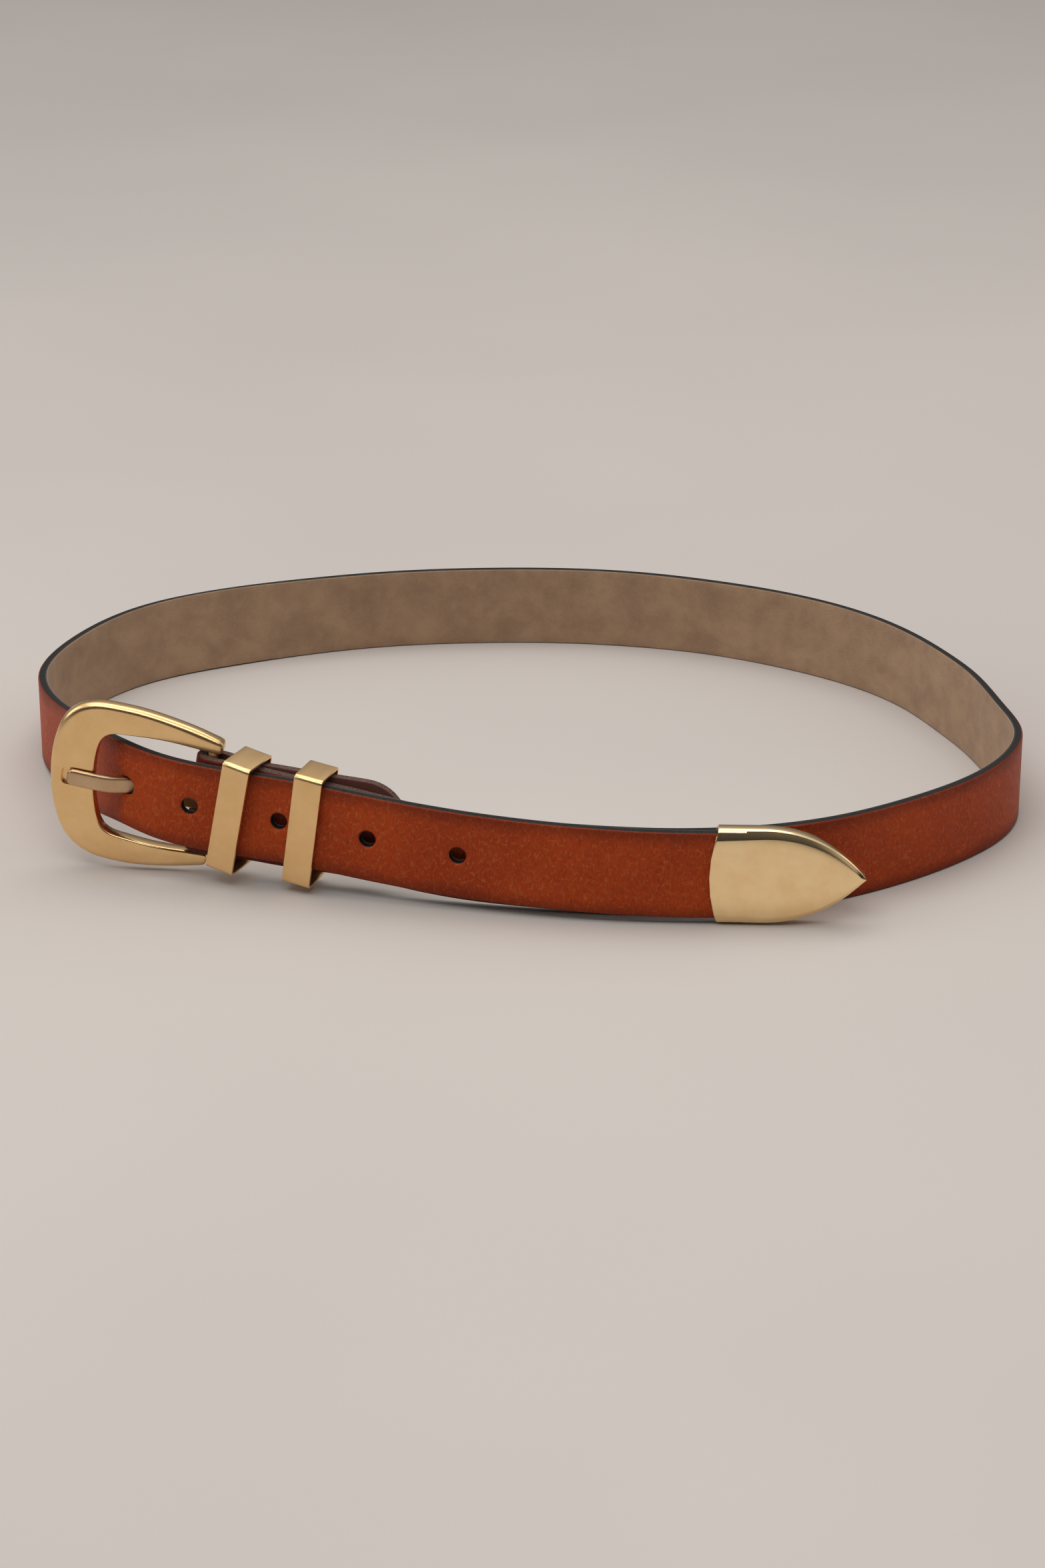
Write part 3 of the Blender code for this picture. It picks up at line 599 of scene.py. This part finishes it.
lower = [(ix, -iz, ox, -oz) for ix, iz, ox, oz in FRAME_STATIONS[:-1]]
run = lower + FRAME_STATIONS[::-1]
inner_edge = natural_spline([skewed(ix, iz) for ix, iz, ox, oz in run], FRAME_SECTIONS)
outer_edge = natural_spline([skewed(ox, oz) for ix, iz, ox, oz in run], FRAME_SECTIONS)
sections = [frame_section(Vector((a[0], 0, a[1])), Vector((b[0], 0, b[1])))
            for a, b in zip(inner_edge, outer_edge)]
buckle_frame = new_object("buckle_frame_cast", placed(loft(sections), buckle), 50)
bore = rod(BAR_RADIUS + GAP / 2, -BAR_HALF_LENGTH - GAP, BAR_HALF_LENGTH + GAP)
notch_half = TONGUE_WIDTH / 2 + GAP
notch = block((NOTCH_START, NOTCH_FLOOR, -notch_half), (NOTCH_END, NOTCH_TOP, notch_half))
far_corners = [edge for edge in notch.edges
               if abs(edge.verts[0].co.x - NOTCH_END) < SAME_PLACE
               and abs(edge.verts[1].co.x - NOTCH_END) < SAME_PLACE
               and abs(edge.verts[0].co.z - edge.verts[1].co.z) < SAME_PLACE]
bmesh.ops.bevel(notch, geom=far_corners, offset=NOTCH_CORNER, segments=5, profile=0.5,
                affect="EDGES", material=-1)
carve(buckle_frame, [new_object("bore", placed(bore, buckle)),
                     new_object("notch", placed(notch, buckle))])
buckle_frame.data.set_sharp_from_angle(angle=math.radians(50))

GOLD = (0.87, 0.585, 0.285)
GOLD_DEEP = (0.81, 0.525, 0.245)


def gold_plate(name, roughness, brushed, light=GOLD, deep=GOLD_DEEP):
    """Pale gold plate: faint cloudiness, fine brushing along one way and a few rubbed spots."""
    plate = Finish(name)
    place = plate.object_place()
    haze = plate.noise(place, 90, 4, 0.6)
    lines = plate.noise(plate.stretched(place, brushed), 1.0, 2, 0.5)
    rub = plate.noise(place, 500, 4, 0.6).ramp(0.60, 0.78)
    tone = plate.mix(haze.ramp(0.3, 0.7), light, deep)
    plate.surface(Base_Color=tone, Metallic=1.0,
                  Roughness=roughness + haze * 0.05 + rub * 0.05 + lines * 0.04,
                  Normal=plate.bump(lines * 0.5 + haze * 0.3, 0.00001, 0.25))
    return plate.material


buckle_frame.data.materials.clear()
buckle_frame.data.materials.append(gold_plate("pale_gold_buckle", 0.22, (900, 900, 7000)))
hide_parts("buckle_frame")
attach(buckle_frame, "buckle")

# ---------------------------------------------------------------------------------------------
# Hinge bar.  A brass pin plated like the frame and riveted into its two arms.  The strap's fold
# and the tongue's eye turn on it.
# ---------------------------------------------------------------------------------------------
PIN_ROUNDING = 0.3 * MM
pin = rod(BAR_RADIUS, -BAR_HALF_LENGTH, BAR_HALF_LENGTH)
rims = [edge for edge in pin.edges if abs(edge.verts[0].co.z - edge.verts[1].co.z) < SAME_PLACE]
bmesh.ops.bevel(pin, geom=rims, offset=PIN_ROUNDING, segments=2, profile=0.5, affect="EDGES",
                material=-1)
hinge_bar = new_object("hinge_pin", placed(pin, buckle))
hinge_bar.data.materials.append(gold_plate("pale_gold_pin", 0.3, (2000, 2000, 300)))
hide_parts("hinge_bar")
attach(hinge_bar, "buckle")

# ---------------------------------------------------------------------------------------------
# Tongue.  A flat gold-plated bar, rolled into an eye on the hinge bar, that passes through the
# strap's worn hole and lies in the notch of the free bar.
# ---------------------------------------------------------------------------------------------
TONGUE_THICKNESS = 2.4 * MM
EYE_WALL = 1.4 * MM
TONGUE_SECTIONS = 120
THIN_SECTIONS = 50                      # from the eye on, this many are as thin as the eye's wall
TONGUE_NOSE = 1.9 * MM                  # length of the rounding at its free end
# Painted shade: the tongue's plate is the frame's gold made darker, standing in for the shade that lies
# on it.
TONGUE_GOLD_IN_SHADE = (0.62, 0.43, 0.26)
TONGUE_DEEP_GOLD_IN_SHADE = (0.54, 0.36, 0.21)

# From the eye to the free end, in the buckle's X and Y (mm)
TONGUE_PATH = [
    (1.9, 2.0), (5.5, 1.3), (10, 0.8), (16, 0.1), (20, -0.6), (23.5, -0.4), (26.5, 0.9),
    (29.5, 2.2), (33, 2.75), (37, 2.8), (40.5, 2.7), (43.6, 2.6),
]
eye_radius = BAR_RADIUS + GAP + EYE_WALL / 2
eye_turn = [(eye_radius * math.cos(math.radians(angle)), eye_radius * math.sin(math.radians(angle)))
            for angle in range(440, 70, -20)]
line = [(x * MM, y * MM) for x, y in TONGUE_PATH]
path = natural_spline(eye_turn[:-1] + line, TONGUE_SECTIONS)
way = np.gradient(path, axis=0)
way /= np.linalg.norm(way, axis=1)[:, None]
sections = []
for number, ((x, y), (dx, dy)) in enumerate(zip(path, way)):
    thickness = TONGUE_THICKNESS if number > THIN_SECTIONS else EYE_WALL
    left = path[-1][0] - x
    nose = math.sqrt(1 - max(1 - (left + 0.05 * MM) / TONGUE_NOSE, 0) ** 2)
    half = thickness / 2 * (0.35 + 0.65 * nose)
    wide = TONGUE_WIDTH / 2 * (0.25 + 0.75 * nose)
    ring = []
    for degrees in range(0, 360, 15):
        turn = math.radians(degrees)
        side = math.copysign(abs(math.cos(turn)) ** 0.45, math.cos(turn))
        rise = math.copysign(abs(math.sin(turn)) ** 0.6, math.sin(turn))
        ring.append(Vector((x - dy * half * rise, y + dx * half * rise, wide * side)))
    sections.append(ring)
tongue = new_object("tongue_bar", placed(loft(sections), buckle), 60)
tongue.data.materials.append(gold_plate("shaded_gold_tongue", 0.30, (500, 500, 6000),
                                        TONGUE_GOLD_IN_SHADE, TONGUE_DEEP_GOLD_IN_SHADE))
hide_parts("tongue")
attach(tongue, "prong")

# ---------------------------------------------------------------------------------------------
# Keepers.  Two loops bent from flat strip, satin on the faces with their edges left bright.
# They are held only by the layers of strap inside them.
# ---------------------------------------------------------------------------------------------
KEEPER_WIDTH = 9.2 * MM
KEEPER_SHEET = 0.9 * MM
KEEPER_HEIGHT = 37 * MM
KEEPER_CORNER = 1.6 * MM

# The strip's section: across its width and through its sheet, as shares of half of each
STRIP_OUTLINE = [
    (-1, -0.7), (-1, 0.45), (-0.985, 0.85), (-0.95, 1), (-0.5, 1), (0, 1), (0.5, 1), (0.95, 1),
    (0.985, 0.85), (1, 0.45), (1, -0.7), (0.96, -1), (-0.96, -1),
]

# CAD node, body, distance from the strap's end, depth, shift inwards, drop, yaw and lean
KEEPERS = [
    ("keeper_near_buckle", "first_keeper", 171 * MM, 15.8 * MM, 3.6 * MM, 0.9 * MM,
     math.radians(-12), math.radians(7)),
    ("keeper_near_tip", "second_keeper", 148.3 * MM, 14 * MM, 3.85 * MM, 1.5 * MM,
     math.radians(-4), math.radians(3)),
]


def keeper_sections(depth):
    """Sections of the flat strip on its way round the loop."""
    sections = []
    high, deep = KEEPER_HEIGHT / 2 - KEEPER_CORNER, depth / 2 - KEEPER_CORNER
    middle = KEEPER_CORNER - KEEPER_SHEET / 2
    corners = [(1, 1), (-1, 1), (-1, -1), (1, -1)]
    for quarter, (side, level) in enumerate(corners):
        for step in range(9):
            turn = math.pi / 2 * (quarter + step / 8)
            out = Vector((0, math.cos(turn), math.sin(turn)))
            centre = Vector((0, side * deep, level * high)) + out * middle
            sections.append([centre + out * (through * KEEPER_SHEET / 2)
                             + Vector((across * KEEPER_WIDTH / 2, 0, 0))
                             for across, through in STRIP_OUTLINE])
    return sections


keeper_plate = gold_plate("pale_gold_keepers", 0.26, (900, 900, 900))
for node, body, from_end, depth, inward, drop, yaw, lean in KEEPERS:
    place = route.frame(route.length - from_end) @ Matrix.Translation((0, inward, -drop))
    place = place @ Matrix.Rotation(yaw, 4, "Z") @ Matrix.Rotation(lean, 4, "Y")
    keeper = new_object(node + "_band", placed(loft(keeper_sections(depth), looped=True), place), 40)
    keeper.data.materials.append(keeper_plate)
    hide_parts(node)
    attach(keeper, body)

# ---------------------------------------------------------------------------------------------
# Tip.  A pointed cap cast and plated like the buckle: a flat front, edges rolled over and
# polished, and a bowed mouth.  The strap's end is pushed into its pocket and held by two screws.
# ---------------------------------------------------------------------------------------------
TIP_LENGTH = 47.3 * MM
TIP_SHOULDER = 16 * MM
TIP_HEIGHT = 31 * MM
TIP_THICKNESS = 5.8 * MM
TIP_MOUTH_BOW = 2.5 * MM
TIP_POCKET_DEPTH = 24 * MM
STRAP_IN_TIP = 23 * MM
TIP_ROLL = 3.4 * MM                     # width of the rolled edge at the mouth, and its drop
TIP_ROLL_DROP = 1.6 * MM
TIP_POINT = 0.05 * MM                   # half the height left at the very point
TIP_SECTIONS = 60
TIP_GOLD = (0.97, 0.74, 0.42)
TIP_GOLD_DEEP = (0.90, 0.64, 0.34)


def tip_half_height(x):
    half = TIP_HEIGHT / 2
    if x < TIP_SHOULDER:
        return half
    reach = TIP_LENGTH - TIP_SHOULDER
    radius = (reach**2 + half**2) / (2 * half)
    return max(half - radius + math.sqrt(radius**2 - (x - TIP_SHOULDER) ** 2), TIP_POINT)


def tip_section(x):
    """Section across the tip, with its bow and rolled edges."""
    half = tip_half_height(x)
    front = TIP_THICKNESS / 2
    roll = min(TIP_ROLL * (1 - 0.6 * x / TIP_LENGTH), 0.8 * half)
    drop = TIP_ROLL_DROP * (1 - 0.35 * x / TIP_LENGTH) * min(half / (4 * MM), 1)
    taper = min(half / MM, 1)
    upper = [(-front, 0), (-front, 0.5 * (half - roll)), (-front, half - roll)]
    for share in (0.06, 0.35, 0.65, 0.85):
        upper.append((-front + drop * share**1.1, half - roll * (1 - share)))
    upper += [(-front + drop, half - 0.35 * MM * taper), (-front + 1.25 * drop, half - 0.1 * MM * taper),
              (-front + 1.6 * drop, half), (front - 0.7 * MM, half),
              (front - 0.25 * MM, half - 0.2 * MM * taper), (front, half - 0.6 * MM * taper),
              (front, 0.5 * half)]
    outline = upper + [(front, 0)] + [(y, -z) for y, z in upper[:0:-1]]
    bow = max(1 - x / TIP_SHOULDER, 0)
    return [Vector((x + bow * TIP_MOUTH_BOW * (z / (TIP_HEIGHT / 2)) ** 2, y, z))
            for y, z in outline]


stations = [0, 0.12 * MM, 0.4 * MM]
stations += [step * TIP_LENGTH / TIP_SECTIONS for step in range(1, TIP_SECTIONS)]
stations += [TIP_LENGTH - 0.3 * MM, TIP_LENGTH - 0.08 * MM]
sections = [tip_section(x) for x in stations]
for share, section in zip((0.985, 0.996), sections):    # the mouth's rim is eased inwards
    for corner in section:
        corner.y *= share
        corner.z *= share
tip_place = route.frame(route.length - STRAP_IN_TIP)
metal_tip = new_object("metal_tip_cap", placed(loft(sections), tip_place), 40)
pocket_half = Vector((0, FACE + GAP / 2, STRAP_WIDTH / 2 + GAP))
pocket = block(Vector((-5 * MM, 0, 0)) - pocket_half, Vector((TIP_POCKET_DEPTH, 0, 0)) + pocket_half)
carve(metal_tip, [new_object("pocket", placed(pocket, tip_place))], tangled=True)
metal_tip.data.materials.clear()
metal_tip.data.materials.append(gold_plate("pale_gold_tip", 0.15, (900, 900, 900),
                                           TIP_GOLD, TIP_GOLD_DEEP))
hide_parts("metal_tip")
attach(metal_tip, "strap")

# ---------------------------------------------------------------------------------------------
# Screws.  Plated brass.  Two slotted screws and their posts close the fold, and two plain ones
# hold the tip from its back.  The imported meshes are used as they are, with the finish on them.
# ---------------------------------------------------------------------------------------------
screw_plate = gold_plate("pale_gold_screws", 0.32, (1500, 1500, 1500))
for name in ("fold_post_upper", "fold_post_lower", "fold_screw_upper", "fold_screw_lower",
             "tip_screw_upper", "tip_screw_lower"):
    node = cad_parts[name]
    node.data.materials.clear()
    node.data.materials.append(screw_plate)

# ---------------------------------------------------------------------------------------------
# Stage.  A pale matt floor, four soft lights round the belt, a pale room that is dim in front,
# and the camera.
# ---------------------------------------------------------------------------------------------
FLOOR_SIZE = 24.0
FLOOR_LIGHT = (0.595, 0.55, 0.515)
FLOOR_DARK = (0.555, 0.51, 0.48)
FLOOR_SINK = 0.05 * MM                  # keeps the floor clear of the strap's lower edge
bm = bmesh.new()
bmesh.ops.create_grid(bm, x_segments=1, y_segments=1, size=FLOOR_SIZE / 2)
bmesh.ops.translate(bm, verts=bm.verts, vec=(0, 0, -FLOOR_SINK))
floor = new_object("floor", bm)
paper = Finish("pale_paper")
place = paper.object_place()
blotch = paper.noise(place, 2.2, 3, 0.5)
tooth = paper.noise(place, 900, 3, 0.6)
ripple = paper.noise(paper.stretched(place, (60, 150, 60)), 1.0, 3, 0.5)
paper.surface(Base_Color=paper.mix(blotch.ramp(0.3, 0.7), FLOOR_DARK, FLOOR_LIGHT), Roughness=0.9,
              Normal=paper.bump(tooth * 0.4 + ripple, 0.0004, 0.15))
floor.data.materials.append(paper.material)


WARM_WHITE = (1.0, 0.98, 0.95)
COOL_WHITE = (0.97, 0.98, 1.0)


def soft_light(name, place, size, power, colour):
    """Rectangular light aimed at the origin."""
    data = bpy.data.lights.new(name, "AREA")
    data.shape = "RECTANGLE"
    data.size, data.size_y = size
    data.energy = power
    data.color = colour
    light = bpy.data.objects.new(name, data)
    light.location = place
    light.rotation_euler = (-Vector(place)).to_track_quat("-Z", "Y").to_euler()
    bpy.context.collection.objects.link(light)


soft_light("overhead_bank", (-0.1, 0.25, 1.5), (1.6, 0.9), 8, WARM_WHITE)
soft_light("front_bank", (-0.3, -1.05, 1.55), (1.5, 0.6), 9.3, WARM_WHITE)
soft_light("left_window", (-1.6, -0.2, 0.9), (1.0, 1.0), 5, COOL_WHITE)
soft_light("right_fill", (1.7, 0.3, 0.7), (0.8, 0.8), 2, WARM_WHITE)

world = bpy.data.worlds.new("room")
bpy.context.scene.world = world
world.use_nodes = True
tree = world.node_tree
background = tree.nodes["Background"]
sky = tree.nodes.new("ShaderNodeTexCoord")
split = tree.nodes.new("ShaderNodeSeparateXYZ")
tree.links.new(sky.outputs["Generated"], split.inputs[0])
height = tree.nodes.new("ShaderNodeValToRGB")
height.color_ramp.elements[0].position = 0.22
height.color_ramp.elements[0].color = (0.20, 0.195, 0.19, 1)
height.color_ramp.elements[1].position = 0.75
height.color_ramp.elements[1].color = (0.75, 0.735, 0.72, 1)
tree.links.new(split.outputs["Z"], height.inputs[0])
front = tree.nodes.new("ShaderNodeMapRange")    # the room in front of the belt is dim
front.interpolation_type = "SMOOTHSTEP"
for name, value in (("From Min", -0.75), ("From Max", -0.35), ("To Min", 0.10), ("To Max", 1.0)):
    front.inputs[name].default_value = value
tree.links.new(split.outputs["Y"], front.inputs["Value"])
dim = tree.nodes.new("ShaderNodeVectorMath")
dim.operation = "SCALE"
tree.links.new(height.outputs[0], dim.inputs[0])
tree.links.new(front.outputs[0], dim.inputs["Scale"])
tree.links.new(dim.outputs[0], background.inputs["Color"])
background.inputs["Strength"].default_value = 0.9

bpy.context.scene.view_settings.view_transform = "Standard"

CAMERA_PITCH = math.radians(22.9)
CAMERA_DISTANCE = 1.223
camera_data = bpy.data.cameras.new("camera")
camera_data.lens = 85
camera_data.sensor_fit = "VERTICAL"
camera_data.sensor_height = 36
camera = bpy.data.objects.new("camera", camera_data)
towards_camera = Vector((0, -math.cos(CAMERA_PITCH), math.sin(CAMERA_PITCH)))
camera.location = CENTRE + towards_camera * CAMERA_DISTANCE
camera.rotation_euler = (math.pi / 2 - CAMERA_PITCH, 0, 0)
bpy.context.collection.objects.link(camera)
bpy.context.scene.camera = camera
